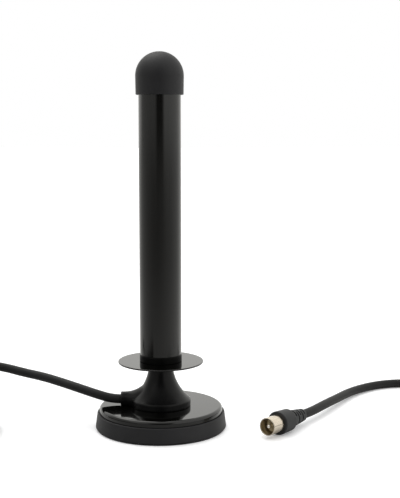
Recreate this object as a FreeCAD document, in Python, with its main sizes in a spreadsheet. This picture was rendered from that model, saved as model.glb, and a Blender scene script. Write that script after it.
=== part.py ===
"""Indoor TV antenna on a round magnetic base, with its coaxial lead and aerial plug.

Millimetres. The origin is the centre of the base's underside, +Z is up along the tube, and the
lead leaves the pedestal towards -X.
"""
import FreeCAD
import Part
import Sketcher
import math
import os

Vector = FreeCAD.Vector
Placement = FreeCAD.Placement
Rotation = FreeCAD.Rotation

doc = FreeCAD.newDocument("IndoorAntenna")

# Driving dimensions, one cell each.
SIZES = {
    "snug": 0.05,
    "boot_radius": 35.5,
    "boot_foot_inset": 0.9,
    "boot_widest_height": 1.1,
    "boot_taper": 1.0,
    "boot_lip": 1.15,
    "boot_height": 8.8,
    "boot_floor": 1.3,
    "boot_rounding": 0.6,
    "cover_sheet": 1.0,
    "cover_shoulder": 1.7,
    "magnet_gap": 2.3,
    "magnet_bore_radius": 16.0,
    "magnet_height": 10.0,
    "magnet_edge": 0.6,
    "screw_circle_radius": 11.3,
    "screw_radius": 1.5,
    "screw_length": 5.6,
    "screw_head_radius": 2.7,
    "screw_head_height": 1.9,
    "foot_radius": 16.1,
    "neck_radius": 6.4,
    "waist_curve": 26.0,
    "pedestal_height": 23.7,
    "foot_rounding": 1.5,
    "cavity_radius": 7.0,
    "cavity_height": 11.4,
    "boss_radius": 4.05,
    "boss_axis_height": 3.15,
    "boss_reach": 21.8,
    "boss_straight": 2.2,
    "boss_root": 2.7,
    "boss_flare_rise": 4.3,
    "boss_edge": 0.4,
    "cable_radius": 2.5,
    "cable_seat": 1.0,
    "ferrule_length": 9.0,
    "core_radius": 1.5,
    "core_bend": 4.0,
    "nipple_radius": 4.0,
    "nipple_bore_radius": 2.5,
    "nipple_overhang": 0.5,
    "nut_across_corners": 12.6,
    "nut_height": 3.0,
    "disc_radius": 23.0,
    "disc_sheet": 0.8,
    "disc_edge": 0.25,
    "collar_lip": 0.15,
    "collar_height": 3.6,
    "spigot_height": 12.0,
    "spigot_wall": 1.7,
    "slot_floor": 4.4,
    "tube_radius": 11.2,
    "tube_wall": 1.0,
    "tube_length": 148.4,
    "board_width": 18.4,
    "board_sheet": 1.6,
    "board_length": 136.0,
    "cap_wall": 1.57,
    "cap_skirt": 9.8,
    "cap_taper": 0.15,
    "cap_dome_wall": 2.9,
    "cap_edge": 0.5,
    "relief_length": 14.0,
    "relief_rear_radius": 3.4,
    "relief_front_radius": 5.0,
    "relief_groove_width": 1.1,
    "relief_groove_depth": 0.7,
    "grip_length": 10.6,
    "grip_rear_radius": 5.95,
    "grip_front_radius": 6.35,
    "grip_rounding": 0.7,
    "shell_radius": 4.75,
    "shell_wall": 0.55,
    "shell_length": 9.5,
    "shell_seat": 6.0,
    "shell_seat_step": 0.25,
    "insulator_depth": 5.0,
    "pin_radius": 1.18,
    "pin_setback": 0.8,
    "hank_run": 100.0,
    "hank_bend": 15.5,
    "tie_width": 10.0,
    "tie_sheet": 1.2,
}

sheet = doc.addObject("Spreadsheet::Sheet", "Sizes")
for row, (alias, number) in enumerate(SIZES.items(), 1):
    sheet.set(f"A{row}", alias)
    sheet.set(f"B{row}", str(number))
    sheet.setAlias(f"B{row}", alias)
doc.recompute()


class Size:
    """A length together with the sheet formula that gives it."""

    def __init__(self, number, formula):
        self.number = number
        self.formula = formula

    def __add__(self, other):
        return Size(self.number + other.number, f"({self.formula} + {other.formula})")

    def __sub__(self, other):
        return Size(self.number - other.number, f"({self.formula} - {other.formula})")

    def __mul__(self, factor):
        return Size(self.number * factor, f"({self.formula} * {factor})")

    def __neg__(self):
        return self * -1

    def leg(self, other):
        """The other leg of the right triangle whose longest side is this length."""
        number = math.sqrt(self.number**2 - other.number**2)
        return Size(number, f"sqrt({self.formula} ^ 2 - {other.formula} ^ 2)")

    def arc_radius(self, rise):
        """Radius of the arc that leaves a straight line smoothly and rises so far over this length."""
        number = (self.number**2 + rise.number**2) / (2 * rise.number)
        return Size(number, f"(({self.formula} ^ 2 + {rise.formula} ^ 2) / (2 * {rise.formula}))")


def size(alias):
    return Size(float(sheet.get(alias)), f"Sizes.{alias}")


zero = Size(0.0, "0")
snug = size("snug")


def bind(thing, sizes):
    """Tie properties of a document object to the sheet."""
    for path, length in sizes.items():
        thing.setExpression(path, length.formula)


def origin_feature(body, role):
    return next(feature for feature in body.Origin.OriginFeatures if feature.Role == role)


def attach(body, thing, role, **offsets):
    """Set a sketch or primitive on one of its body's origin planes."""
    thing.AttachmentSupport = [(origin_feature(body, role), "")]
    thing.MapMode = "FlatFace"
    bind(thing, {f"AttachmentOffset.Base.{axis}": offset for axis, offset in offsets.items()})


def arc_between(start, end, radius, turns_left):
    """Arc of a sketch from start to end, and which of its own ends come first and last."""
    chord = end - start
    half = chord.Length / 2
    rise = math.sqrt(max(radius**2 - half**2, 0.0))
    side = Vector(-chord.y, chord.x, 0).normalize() * (rise if turns_left else -rise)
    centre = (start + end) * 0.5 + side
    first, last = (start, end) if turns_left else (end, start)
    begins = math.atan2(first.y - centre.y, first.x - centre.x)
    ends = math.atan2(last.y - centre.y, last.x - centre.x)
    if ends <= begins:
        ends += 2 * math.pi
    circle = Part.Circle(centre, Vector(0, 0, 1), radius)
    return Part.ArcOfCircle(circle, begins, ends), (1, 2) if turns_left else (2, 1)


def draw_outline(sketch, corners):
    """Closed outline through corners (x, y); a corner (x, y, radius, turns_left) starts an arc."""
    points = [Vector(corner[0].number, corner[1].number, 0) for corner in corners]
    edges = []
    for i, corner in enumerate(corners):
        start, end = points[i], points[(i + 1) % len(points)]
        if len(corner) == 2:
            edges.append((sketch.addGeometry(Part.LineSegment(start, end)), 1, 2))
        else:
            arc, order = arc_between(start, end, corner[2].number, corner[3])
            edges.append((sketch.addGeometry(arc), *order))
    for edge, following in zip(edges, edges[1:] + edges[:1]):
        joint = Sketcher.Constraint("Coincident", edge[0], edge[2], following[0], following[1])
        sketch.addConstraint(joint)
    for corner, (geometry, first, last) in zip(corners, edges):
        for kind, axis, length in (("DistanceX", -2, corner[0]), ("DistanceY", -1, corner[1])):
            if length is zero:
                sketch.addConstraint(Sketcher.Constraint("PointOnObject", geometry, first, axis))
            else:
                rule = Sketcher.Constraint(kind, -1, 1, geometry, first, length.number)
                index = sketch.addConstraint(rule)
                sketch.setExpression(f"Constraints[{index}]", length.formula)
        if len(corner) > 2:
            index = sketch.addConstraint(Sketcher.Constraint("Radius", geometry, corner[2].number))
            sketch.setExpression(f"Constraints[{index}]", corner[2].formula)


def turned(label, corners):
    """Body turned about its Z axis from an outline in radius and height."""
    body = doc.addObject("PartDesign::Body", label)
    sketch = body.newObject("Sketcher::SketchObject", f"{label}_outline")
    attach(body, sketch, "XZ_Plane")
    draw_outline(sketch, corners)
    turn = body.newObject("PartDesign::Revolution", f"{label}_turn")
    turn.Profile = sketch
    turn.ReferenceAxis = (sketch, ["V_Axis"])
    turn.Angle = 360
    body.Tip = turn
    doc.recompute()
    return body


def primitive(body, kind, name, role, sizes, **offsets):
    """Primitive feature added to or cut from a body, set on an origin plane, its faces as cut."""
    feature = body.newObject(f"PartDesign::{kind}", name)
    feature.Refine = False
    attach(body, feature, role, **offsets)
    bind(feature, sizes)
    body.Tip = feature
    doc.recompute()
    return feature


def polar(body, feature, count):
    """Repeat a feature evenly about the body's Z axis."""
    pattern = body.newObject("PartDesign::PolarPattern", f"{feature.Name}_ring")
    pattern.Originals = [feature]
    pattern.Axis = (origin_feature(body, "Z_Axis"), [""])
    pattern.Angle = 360
    pattern.Occurrences = count
    body.Tip = pattern
    doc.recompute()


def round_edges(body, name, radius, wanted):
    """Fillet the edges of the body that the test picks."""
    base = body.Tip
    edges = [f"Edge{i}" for i, edge in enumerate(base.Shape.Edges, 1) if wanted(edge)]
    fillet = body.newObject("PartDesign::Fillet", name)
    fillet.Base = (base, edges)
    bind(fillet, {"Radius": radius})
    body.Tip = fillet
    doc.recompute()


def ring_at(*rings):
    """Test for whole circles about the Z axis, given as (radius, height) pairs."""

    def wanted(edge):
        if edge.Degenerated or not isinstance(edge.Curve, Part.Circle):
            return False
        found = (edge.Curve.Radius, edge.Curve.Center.z)
        return any(
            math.hypot(found[0] - radius.number, found[1] - height.number) < 0.01
            for radius, height in rings
        )

    return wanted


def cylinder(name, radius, height, base):
    """Upright cylinder on a base point (x, y, z)."""
    solid = doc.addObject("Part::Cylinder", name)
    bind(solid, {"Radius": radius, "Height": height})
    bind(solid, {f"Placement.Base.{axis}": place for axis, place in zip("xyz", base)})
    return solid


def box(name, corner, sides):
    """Box from its lowest corner and its three sides."""
    solid = doc.addObject("Part::Box", name)
    bind(solid, dict(zip(("Length", "Width", "Height"), sides)))
    bind(solid, {f"Placement.Base.{axis}": place for axis, place in zip("xyz", corner)})
    return solid


def cut(name, base, tool):
    result = doc.addObject("Part::Cut", name)
    result.Base = base
    result.Tool = tool
    return result


def fuse(name, solids):
    result = doc.addObject("Part::MultiFuse", name)
    result.Shapes = solids
    result.Refine = True
    return result


def group(name, solids):
    result = doc.addObject("Part::Compound", name)
    result.Links = solids
    return result


parts = []

# Rubber boot: a soft cup, widest just above the table, tapering in to a thin lip on the cover.
boot_radius = size("boot_radius")
boot_height = size("boot_height")
boot_floor = size("boot_floor")
boot_lip_radius = boot_radius - size("boot_taper")
boot_widest = size("boot_widest_height")
boot_inside = boot_lip_radius - size("boot_lip")
boot = turned("rubber_boot", [
    (zero, zero),
    (boot_radius - size("boot_foot_inset"), zero),
    (boot_radius, boot_widest),
    (boot_lip_radius, boot_height),
    (boot_inside, boot_height),
    (boot_inside, boot_floor),
    (zero, boot_floor),
])
boot_rings = ring_at((boot_radius, boot_widest), (boot_lip_radius, boot_height))
round_edges(boot, "boot_rounding", size("boot_rounding"), boot_rings)
parts.append(boot)

# Steel cover: a pressed cup with a rounded shoulder, standing in the boot over the magnet.
cover_radius = boot_inside - snug
cover_sheet = size("cover_sheet")
shoulder = size("cover_shoulder")
cover_under = boot_floor + size("magnet_height")
cover_top = cover_under + cover_sheet
cover_inside = cover_radius - cover_sheet
shoulder_inside = shoulder - cover_sheet
cover = turned("base_cover", [
    (cover_inside, boot_floor),
    (cover_radius, boot_floor),
    (cover_radius, cover_top - shoulder, shoulder, True),
    (cover_radius - shoulder, cover_top),
    (zero, cover_top),
    (zero, cover_under),
    (cover_inside - shoulder_inside, cover_under, shoulder_inside, False),
    (cover_inside, cover_under - shoulder_inside),
])
screw_circle = size("screw_circle_radius")
screw_radius = size("screw_radius")
cover_hole = primitive(
    cover, "SubtractiveCylinder", "cover_hole", "XY_Plane",
    {"Radius": screw_radius + snug, "Height": cover_sheet}, x=screw_circle, z=cover_under,
)
SCREWS = 3
polar(cover, cover_hole, SCREWS)
parts.append(cover)

# Ferrite ring magnet, glued under the cover and resting on the boot's floor.
magnet_radius = cover_inside - size("magnet_gap")
magnet_bore = size("magnet_bore_radius")
magnet_edge = size("magnet_edge")
parts.append(turned("ring_magnet", [
    (magnet_bore + magnet_edge, boot_floor),
    (magnet_radius - magnet_edge, boot_floor),
    (magnet_radius, boot_floor + magnet_edge),
    (magnet_radius, cover_under - magnet_edge),
    (magnet_radius - magnet_edge, cover_under),
    (magnet_bore + magnet_edge, cover_under),
    (magnet_bore, cover_under - magnet_edge),
    (magnet_bore, boot_floor + magnet_edge),
]))

# Screws from below, heads against the underside of the cover, threads in the pedestal.
head_height = size("screw_head_height")
screw_length = size("screw_length")
screws = []
for number in range(SCREWS):
    turn = 2 * math.pi * number / SCREWS
    x = screw_circle * math.cos(turn)
    y = screw_circle * math.sin(turn)
    head = cylinder(
        f"screw_head_{number}", size("screw_head_radius"), head_height,
        (x, y, cover_under - head_height),
    )
    shank = cylinder(f"screw_shank_{number}", screw_radius, screw_length, (x, y, cover_under))
    screws.append(fuse(f"screw_{number}", [head, shank]))
parts.append(group("base_screws", screws))

# Pedestal: moulded foot sweeping up in one hollow curve to a narrow neck, with a cable boss.
foot_radius = size("foot_radius")
neck_radius = size("neck_radius")
waist_curve = size("waist_curve")
pedestal_top = cover_top + size("pedestal_height")
foot_wall_top = pedestal_top - waist_curve.leg(waist_curve + neck_radius - foot_radius)
pedestal = turned("pedestal", [
    (zero, cover_top),
    (foot_radius, cover_top),
    (foot_radius, foot_wall_top, waist_curve, False),
    (neck_radius, pedestal_top),
    (zero, pedestal_top),
])
foot_ring = ring_at((foot_radius, foot_wall_top))
round_edges(pedestal, "foot_rounding", size("foot_rounding"), foot_ring)
pilot_hole = primitive(
    pedestal, "SubtractiveCylinder", "pilot_hole", "XY_Plane",
    {"Radius": screw_radius + snug, "Height": screw_length}, x=screw_circle, z=cover_under,
)
polar(pedestal, pilot_hole, SCREWS)
boss_radius = size("boss_radius")
boss_height = cover_top + size("boss_axis_height")
boss_reach = size("boss_reach")
boss_edge = size("boss_edge")
flare_start = boss_reach - size("boss_straight")
flare_end = neck_radius + size("boss_root")
flare_rise = size("boss_flare_rise")
flare_curve = (flare_start - flare_end).arc_radius(flare_rise)
boss_outline = pedestal.newObject("Sketcher::SketchObject", "boss_outline")
attach(pedestal, boss_outline, "XZ_Plane", y=boss_height)
draw_outline(boss_outline, [
    (-flare_end, zero),
    (-boss_reach, zero),
    (-boss_reach, boss_radius - boss_edge, boss_edge, False),
    (boss_edge - boss_reach, boss_radius),
    (-flare_start, boss_radius, flare_curve, True),
    (-flare_end, boss_radius + flare_rise),
])
boss = pedestal.newObject("PartDesign::Revolution", "boss")
boss.Profile = boss_outline
boss.ReferenceAxis = (boss_outline, ["H_Axis"])
boss.Angle = 360
boss.Refine = False
pedestal.Tip = boss
doc.recompute()
flat_side = foot_radius + boss_reach
primitive(
    pedestal, "SubtractiveBox", "boss_flat", "XY_Plane",
    {"Length": flat_side, "Width": flat_side, "Height": flat_side},
    x=-boss_reach, y=flat_side * -0.5, z=cover_top - flat_side,
)

cavity_radius = size("cavity_radius")
cavity_top = cover_top + size("cavity_height")
nipple_radius = size("nipple_radius")
cable_radius = size("cable_radius")
primitive(
    pedestal, "SubtractiveCylinder", "cavity", "XY_Plane",
    {"Radius": cavity_radius, "Height": cavity_top - cover_top}, z=cover_top,
)
primitive(
    pedestal, "SubtractiveCylinder", "nipple_hole", "XY_Plane",
    {"Radius": nipple_radius + snug, "Height": pedestal_top - cavity_top}, z=cavity_top,
)
primitive(
    pedestal, "SubtractiveCylinder", "cable_hole", "YZ_Plane",
    {"Radius": cable_radius + snug, "Height": boss_reach}, y=boss_height, z=-boss_reach,
)
parts.append(pedestal)

# Ground disc: thin round plate clamped between the pedestal's neck and the collar.
disc_radius = size("disc_radius")
disc_top = pedestal_top + size("disc_sheet")
nipple_hole = nipple_radius + snug
disc_edge = size("disc_edge")
parts.append(turned("ground_disc", [
    (nipple_hole, pedestal_top),
    (disc_radius - disc_edge, pedestal_top),
    (disc_radius, pedestal_top + disc_edge),
    (disc_radius, disc_top - disc_edge),
    (disc_radius - disc_edge, disc_top),
    (nipple_hole, disc_top),
]))

# Collar: flange under the tube, spigot up inside it, slotted across for the antenna board.
tube_radius = size("tube_radius")
tube_inside = tube_radius - size("tube_wall")
collar_radius = tube_radius + size("collar_lip")
collar_top = disc_top + size("collar_height")
spigot_radius = tube_inside - snug
spigot_inside = spigot_radius - size("spigot_wall")
spigot_top = collar_top + size("spigot_height")
collar = turned("tube_collar", [
    (nipple_hole, disc_top),
    (collar_radius, disc_top),
    (collar_radius, collar_top),
    (spigot_radius, collar_top),
    (spigot_radius, spigot_top),
    (spigot_inside, spigot_top),
    (spigot_inside, collar_top),
    (nipple_hole, collar_top),
])
board_sheet = size("board_sheet")
board_foot = collar_top + size("slot_floor")
slot_width = board_sheet + snug * 2
primitive(
    collar, "SubtractiveBox", "board_slot", "XY_Plane",
    {"Length": spigot_radius * 2, "Width": slot_width, "Height": spigot_top - board_foot},
    x=-spigot_radius, y=slot_width * -0.5, z=board_foot,
)
parts.append(collar)

# Upright tube, slipped over the spigot and standing on the collar's flange.
tube_top = collar_top + size("tube_length")
parts.append(turned("antenna_tube", [
    (tube_inside, collar_top),
    (tube_radius, collar_top),
    (tube_radius, tube_top),
    (tube_inside, tube_top),
]))

# Antenna board: printed strip that stands in the collar's slot, inside the tube.
board_width = size("board_width")
parts.append(box(
    "antenna_board",
    (board_width * -0.5, board_sheet * -0.5, board_foot),
    (board_width, board_sheet, size("board_length")),
))

# End cap: soft skirt drawn in over the tube's end, closed by a half-round dome over a hollow.
cap_radius = tube_radius + size("cap_wall")
cap_edge_radius = cap_radius - size("cap_taper")
cap_bottom = tube_top - size("cap_skirt")
dome_inside = cap_radius - size("cap_dome_wall")
cap_socket = tube_radius + snug
end_cap = turned("end_cap", [
    (cap_socket, cap_bottom),
    (cap_edge_radius, cap_bottom),
    (cap_radius, tube_top, cap_radius, True),
    (zero, tube_top + cap_radius),
    (zero, tube_top + dome_inside, dome_inside, False),
    (dome_inside, tube_top),
    (cap_socket, tube_top),
])
round_edges(end_cap, "cap_edge", size("cap_edge"), ring_at((cap_edge_radius, cap_bottom)))
parts.append(end_cap)

# Hollow threaded nipple, and the nuts that clamp pedestal, disc and collar on it.
nut_height = size("nut_height")
overhang = size("nipple_overhang")
nipple_foot = cavity_top - nut_height - overhang
nipple_top = collar_top + nut_height + overhang
nipple_bore = size("nipple_bore_radius")
parts.append(turned("mast_nipple", [
    (nipple_bore, nipple_foot),
    (nipple_radius, nipple_foot),
    (nipple_radius, nipple_top),
    (nipple_bore, nipple_top),
]))
nuts = []
for name, foot in (("lower_nut", cavity_top - nut_height), ("upper_nut", collar_top)):
    hexagon = doc.addObject("Part::Prism", f"{name}_hexagon")
    hexagon.Polygon = 6
    bind(hexagon, {"Circumradius": size("nut_across_corners") * 0.5, "Height": nut_height})
    bind(hexagon, {"Placement.Base.z": foot})
    thread = cylinder(f"{name}_thread", nipple_radius + snug, nut_height, (zero, zero, foot))
    nuts.append(cut(name, hexagon, thread))
parts.append(group("lock_nuts", nuts))


def rounded_path(points):
    """Wire of straight runs joined by tangent arcs as large as the runs allow, and the radii."""
    RUN_SHARE = 0.45
    edges = []
    radii = []
    here = points[0]
    for before, corner, after in zip(points, points[1:], points[2:]):
        back = (before - corner).normalize()
        ahead = (after - corner).normalize()
        turn = math.pi - back.getAngle(ahead)
        setback = RUN_SHARE * min((before - corner).Length, (after - corner).Length)
        radius = setback / math.tan(turn / 2)
        begins = corner + back * setback
        ends = corner + ahead * setback
        bisector = (back + ahead).normalize()
        middle = corner + bisector * (radius / math.cos(turn / 2) - radius)
        edges.append(Part.LineSegment(here, begins).toShape())
        edges.append(Part.Arc(begins, middle, ends).toShape())
        radii.append(radius)
        here = ends
    edges.append(Part.LineSegment(here, points[-1]).toShape())
    return Part.Wire(edges), radii


def round_tube(label, points, radius):
    """Round bar along a rounded path; prints how true it came out."""
    path, radii = rounded_path([Vector(*point) for point in points])
    start = Vector(*points[0])
    along = Vector(*points[1]) - start
    section = Part.Wire(Part.Circle(start, along, radius).toShape())
    bar = doc.addObject("Part::Feature", label)
    bar.Shape = path.makePipeShell([section], True, True)
    expected = math.pi * radius**2 * path.Length
    print(
        f"{label}: length {path.Length:.1f}, volume share {bar.Shape.Volume / expected:.4f}, radii",
        [round(bend, 1) for bend in radii],
    )
    return bar


# Crimp ferrule in the boss, and the bared coaxial core that runs on up through the nipple.
ferrule_end = boss_reach - size("cable_seat")
ferrule_length = size("ferrule_length")
core_radius = size("core_radius")
ferrule = turned("cable_ferrule", [
    (core_radius + snug, zero),
    (cable_radius, zero),
    (cable_radius, ferrule_length),
    (core_radius + snug, ferrule_length),
])
ferrule.Placement = Placement(
    Vector(-ferrule_end.number, 0, boss_height.number), Rotation(Vector(0, 1, 0), 90)
)
parts.append(ferrule)

core_height = boss_height.number
core_bend = size("core_bend").number
core_path = Part.Wire([
    Part.LineSegment(
        Vector(-ferrule_end.number, 0, core_height), Vector(-core_bend, 0, core_height)
    ).toShape(),
    Part.Arc(
        Vector(-core_bend, 0, core_height),
        Vector(
            -core_bend + core_bend * math.sin(math.pi / 4), 0,
            core_height + core_bend - core_bend * math.cos(math.pi / 4),
        ),
        Vector(0, 0, core_height + core_bend),
    ).toShape(),
    Part.LineSegment(
        Vector(0, 0, core_height + core_bend), Vector(0, 0, board_foot.number)
    ).toShape(),
])
core_start = Vector(-ferrule_end.number, 0, core_height)
core_section = Part.Wire(Part.Circle(core_start, Vector(1, 0, 0), core_radius.number).toShape())
feed_lead = doc.addObject("Part::Feature", "feed_lead")
feed_lead.Shape = core_path.makePipeShell([core_section], True, True)
parts.append(feed_lead)

# Coaxial lead: an arch from the boss down to the table, a tied hank, and the run to the plug.
RUN_OUT = [
    (-ferrule_end.number, 0.0, core_height),
    (-28.0, 0.0, core_height),
    (-35.8, 1.8, 16.8),
    (-44.8, 6.6, 19.0),
    (-54.8, 13.4, 20.9),
    (-66.4, 21.2, 22.3),
    (-79.0, 28.5, 23.7),
    (-89.7, 32.7, 24.7),
    (-100.1, 32.5, 24.4),
    (-109.4, 28.5, 23.0),
    (-116.4, 21.3, 20.5),
    (-120.2, 11.8, 17.0),
    (-120.2, -2.5, 12.5),
    (-120.2, -16.0, 12.5),
]
RUN_IN = [
    (-104.7, -123.4, 2.5),
    (-88.0, -123.4, 2.5),
    (-30.0, -124.0, 2.5),
    (40.0, -123.6, 2.5),
    (88.0, -124.0, 2.5),
    (111.0, -123.9, 2.5),
    (122.8, -117.6, 2.5),
    (130.2, -106.4, 2.5),
    (132.4, -92.0, 2.5),
    (134.0, -70.0, 2.5),
    (136.5, -45.0, 2.5),
    (143.0, -8.0, 2.5),
    (153.8, 22.0, 2.5),
    (166.0, 40.8, 2.5),
    (171.6, 53.5, 2.5),
    (172.0, 64.2, 2.5),
    (167.9, 74.1, 2.5),
    (160.0, 81.4, 2.5),
    (149.8, 84.8, 2.5),
    (139.2, 83.6, 2.5),
    (127.4, 78.0, 2.5),
    (113.4, 65.6, 2.9),
    (101.6, 47.4, 4.0),
    (92.3, 30.4, 5.0),
    (83.14, 11.52, 5.04),
    (77.05, 3.59, 5.42),
]
parts.append(round_tube("cable_run_out", RUN_OUT, cable_radius.number))
parts.append(round_tube("cable_run_in", RUN_IN, cable_radius.number))

# Hank: the stored turns as one flat ring with straight sides, notched where the lead joins it.
hank_run = size("hank_run")
hank_bend = size("hank_bend")
tie_sheet = size("tie_sheet")
tie_width = size("tie_width")
hank_height = cable_radius * 6 + tie_sheet
hank_tail = RUN_IN[0]
hank_x = Size(hank_tail[0], str(hank_tail[0]))
hank_front = Size(hank_tail[1], str(hank_tail[1])) + hank_bend
hank_back = hank_front + hank_run


def straight_sided_ring(name, half_width):
    """Solid with straight sides and half-round ends, about the hank's long axis."""
    middle = box(
        f"{name}_middle", (hank_x - half_width, hank_front, zero),
        (half_width * 2, hank_run, hank_height),
    )
    ends = [
        cylinder(f"{name}_{end}", half_width, hank_height, (hank_x, place, zero))
        for end, place in (("front", hank_front), ("back", hank_back))
    ]
    return fuse(name, [middle, *ends])


notch_side = cable_radius * 2 + snug * 4
entry_y = Size(RUN_OUT[-1][1], str(RUN_OUT[-1][1]))
entry_z = Size(RUN_OUT[-1][2], str(RUN_OUT[-1][2]))
hank_left = hank_x - hank_bend - cable_radius
entry_notch = box(
    "entry_notch", (hank_left - snug, entry_y, entry_z - notch_side * 0.5),
    (notch_side, hank_run, hank_height),
)
exit_notch = box(
    "exit_notch", (hank_x, hank_front - hank_bend - notch_side * 0.5, -notch_side * 0.5),
    (hank_run, notch_side, notch_side * 1.5),
)
tie_y = hank_front + hank_run * 0.5 - tie_width * 0.5
tie_groove = box(
    "tie_groove", (hank_left, tie_y - snug, -tie_sheet),
    ((hank_bend + cable_radius) * 2, tie_width + snug * 2, tie_sheet * 2),
)
hank_ring = cut(
    "hank_ring",
    straight_sided_ring("hank_outside", hank_bend + cable_radius),
    straight_sided_ring("hank_inside", hank_bend - cable_radius),
)
hank_cuts = fuse("hank_cuts", [entry_notch, exit_notch, tie_groove])
parts.append(cut("cable_hank", hank_ring, hank_cuts))

# Tie: a flat strap closed round both sides of the hank, let into its underside.
tie_inside = (hank_bend + cable_radius + snug) * 2
tie_outer = box(
    "tie_outer", (hank_left - snug - tie_sheet, tie_y, zero),
    (tie_inside + tie_sheet * 2, tie_width, hank_height + tie_sheet + snug),
)
tie_rounding = doc.addObject("Part::Fillet", "tie_rounding")
tie_rounding.Base = tie_outer
doc.recompute()
tie_edges = [
    i for i, edge in enumerate(tie_outer.Shape.Edges, 1)
    if edge.BoundBox.YLength > tie_width.number / 2
]
tie_rounding.Edges = [(i, tie_sheet.number, tie_sheet.number) for i in tie_edges]
tie_opening = box(
    "tie_opening", (hank_left - snug, tie_y, tie_sheet),
    (tie_inside, tie_width, hank_height - tie_sheet + snug),
)
parts.append(cut("cable_tie", tie_rounding, tie_opening))

# Aerial plug, drawn upright from its cable end and laid on the taper of its grip.
relief_length = size("relief_length")
relief_front_radius = size("relief_front_radius")
relief_rear_radius = size("relief_rear_radius")
grip_length = size("grip_length")
grip_rear_radius = size("grip_rear_radius")
grip_front_radius = size("grip_front_radius")
shell_radius = size("shell_radius")
shell_wall = size("shell_wall")
seat_radius = shell_radius - size("shell_seat_step")
grip_front = relief_length + grip_length
shell_foot = grip_front - size("shell_seat")
shell_front = grip_front + size("shell_length")
PLUG_HEADING = -127.5
taper = math.atan2(grip_front_radius.number - grip_rear_radius.number, grip_length.number)
plug_end_height = (
    grip_rear_radius.number * math.cos(taper) - relief_length.number * math.sin(taper)
)
lay_down = Rotation(Vector(0, 0, 1), PLUG_HEADING) * Rotation(
    Vector(0, 1, 0), 90 - math.degrees(taper)
)
clear = lay_down * Vector(0, 0, snug.number)
plug_end = Vector(RUN_IN[-1][0] + clear.x, RUN_IN[-1][1] + clear.y, plug_end_height)
plug_place = Placement(plug_end, lay_down)

# Overmoulded grip and strain relief in one piece. Each ring groove of the relief is broken by two
# webs, turned a quarter from one groove to the next, so that it bends all ways.
plug_body = turned("plug_body", [
    (zero, zero),
    (relief_rear_radius, zero),
    (relief_front_radius, relief_length),
    (grip_rear_radius, relief_length),
    (grip_front_radius, grip_front),
    (seat_radius + snug, grip_front),
    (seat_radius + snug, shell_foot),
    (zero, shell_foot),
])
grip_rings = ring_at((grip_rear_radius, relief_length), (grip_front_radius, grip_front))
round_edges(plug_body, "grip_rounding", size("grip_rounding"), grip_rings)
GROOVES = 5
GROOVE_PARTS = 2
GROOVE_SWEEP = 125
groove_width = size("relief_groove_width")
groove_depth = size("relief_groove_depth")
for number in range(1, GROOVES + 1):
    share = number / (GROOVES + 1)
    surface = relief_rear_radius + (relief_front_radius - relief_rear_radius) * share
    foot = relief_length * share - groove_width * 0.5
    outline = plug_body.newObject("Sketcher::SketchObject", f"relief_outline_{number}")
    attach(plug_body, outline, "XZ_Plane" if number % 2 else "YZ_Plane")
    draw_outline(outline, [
        (surface - groove_depth, foot),
        (surface + groove_depth, foot),
        (surface + groove_depth, foot + groove_width),
        (surface - groove_depth, foot + groove_width),
    ])
    groove = plug_body.newObject("PartDesign::Groove", f"relief_groove_{number}")
    groove.Profile = outline
    groove.ReferenceAxis = (outline, ["V_Axis"])
    groove.Midplane = True
    groove.Angle = GROOVE_SWEEP
    plug_body.Tip = groove
    doc.recompute()
    polar(plug_body, groove, GROOVE_PARTS)
parts.append(plug_body)

# Nickelled outer contact, drawn in a little where it is held, insulating disc and centre pin.
shell_inside = shell_radius - shell_wall
parts.append(turned("plug_shell", [
    (shell_inside, shell_foot),
    (seat_radius, shell_foot),
    (seat_radius, grip_front),
    (shell_radius, grip_front),
    (shell_radius, shell_front),
    (shell_inside, shell_front),
]))
pin_radius = size("pin_radius")
insulator_front = shell_front - size("insulator_depth")
parts.append(turned("plug_insulator", [
    (pin_radius + snug, shell_foot),
    (shell_inside - snug, shell_foot),
    (shell_inside - snug, insulator_front),
    (pin_radius + snug, insulator_front),
]))
pin_front = shell_front - size("pin_setback")
plug_pin = turned("plug_pin", [
    (zero, shell_foot),
    (pin_radius, shell_foot),
    (pin_radius, pin_front),
    (zero, pin_front),
])
round_edges(plug_pin, "pin_nose", pin_radius * 0.6, ring_at((pin_radius, pin_front)))
parts.append(plug_pin)
for piece in parts[-4:]:
    piece.Placement = plug_place

doc.recompute()
for thing in doc.Objects:
    faults = {"Invalid", "Error"} & set(thing.State)
    if faults:
        raise RuntimeError(f"{thing.Label}: {sorted(faults)}")
for piece in parts:
    if piece.Shape.isNull() or not piece.Shape.isValid() or not piece.Shape.Solids:
        raise RuntimeError(f"{piece.Label}: no valid solid")

os.makedirs("parts", exist_ok=True)
for piece in parts:
    piece.Shape.exportStep(os.path.join("parts", f"{piece.Label}.step"))
    solids = len(piece.Shape.Solids)
    print(f"{piece.Label}: {solids} solid(s), {piece.Shape.Volume:.1f} cubic millimetres")
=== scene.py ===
"""Indoor TV antenna: the finish of every surface, the lead and the studio, in metres."""
import math
import bpy
from mathutils import Matrix, Vector


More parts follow.
